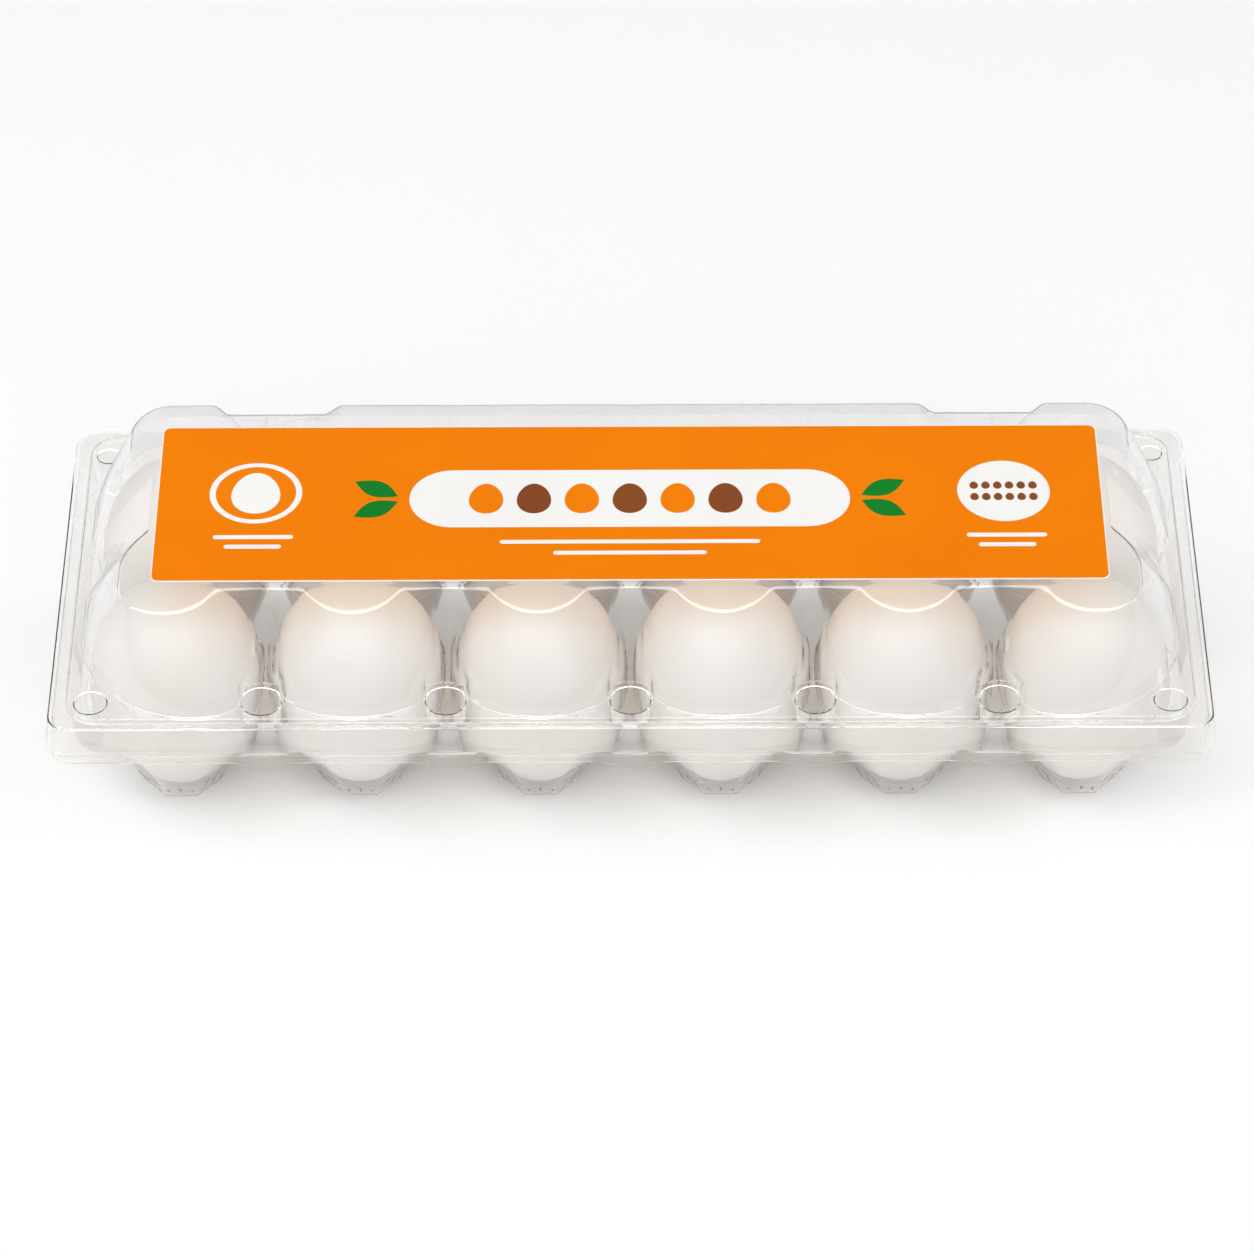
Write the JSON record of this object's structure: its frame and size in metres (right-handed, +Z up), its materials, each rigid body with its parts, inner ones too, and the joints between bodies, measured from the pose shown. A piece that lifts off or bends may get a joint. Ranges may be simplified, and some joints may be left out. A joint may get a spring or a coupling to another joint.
{
  "type": "egg carton with eggs",
  "caption": "Long low clear plastic clamshell egg carton with fluted cups and a lobed hinged lid, filled with pale eggs, a printed label flat on top.",
  "frame": {"origin": "on the floor under the middle of the carton", "axes": "+X along the rows of eggs, +Y towards the hinge side, +Z up"},
  "size_m": [0.3044, 0.1218, 0.0747],
  "materials": {
    "clear_plastic": "clear, glossy thermoformed sheet",
    "eggshell": "off-white eggshell, matt with a faint sheen",
    "label_print": "printed paper label, semi-gloss, orange"
  },
  "bodies": {
    "tray_body": {"tray": "clear_plastic", "egg_front_1": "eggshell", "egg_front_2": "eggshell", "egg_front_3": "eggshell", "egg_front_4": "eggshell", "egg_front_5": "eggshell", "egg_front_6": "eggshell", "egg_back_1": "eggshell", "egg_back_2": "eggshell", "egg_back_3": "eggshell", "egg_back_4": "eggshell", "egg_back_5": "eggshell", "egg_back_6": "eggshell"},
    "lid_body": {"lid": "clear_plastic", "label": "label_print"}
  },
  "joints": [
    {"name": "lid_hinge", "type": "hinge", "parent": "tray_body", "child": "lid_body", "pos_m": [0, 0.06, 0.04705], "axis": [-1, 0, 0], "range_deg": [0, 180]}
  ]
}
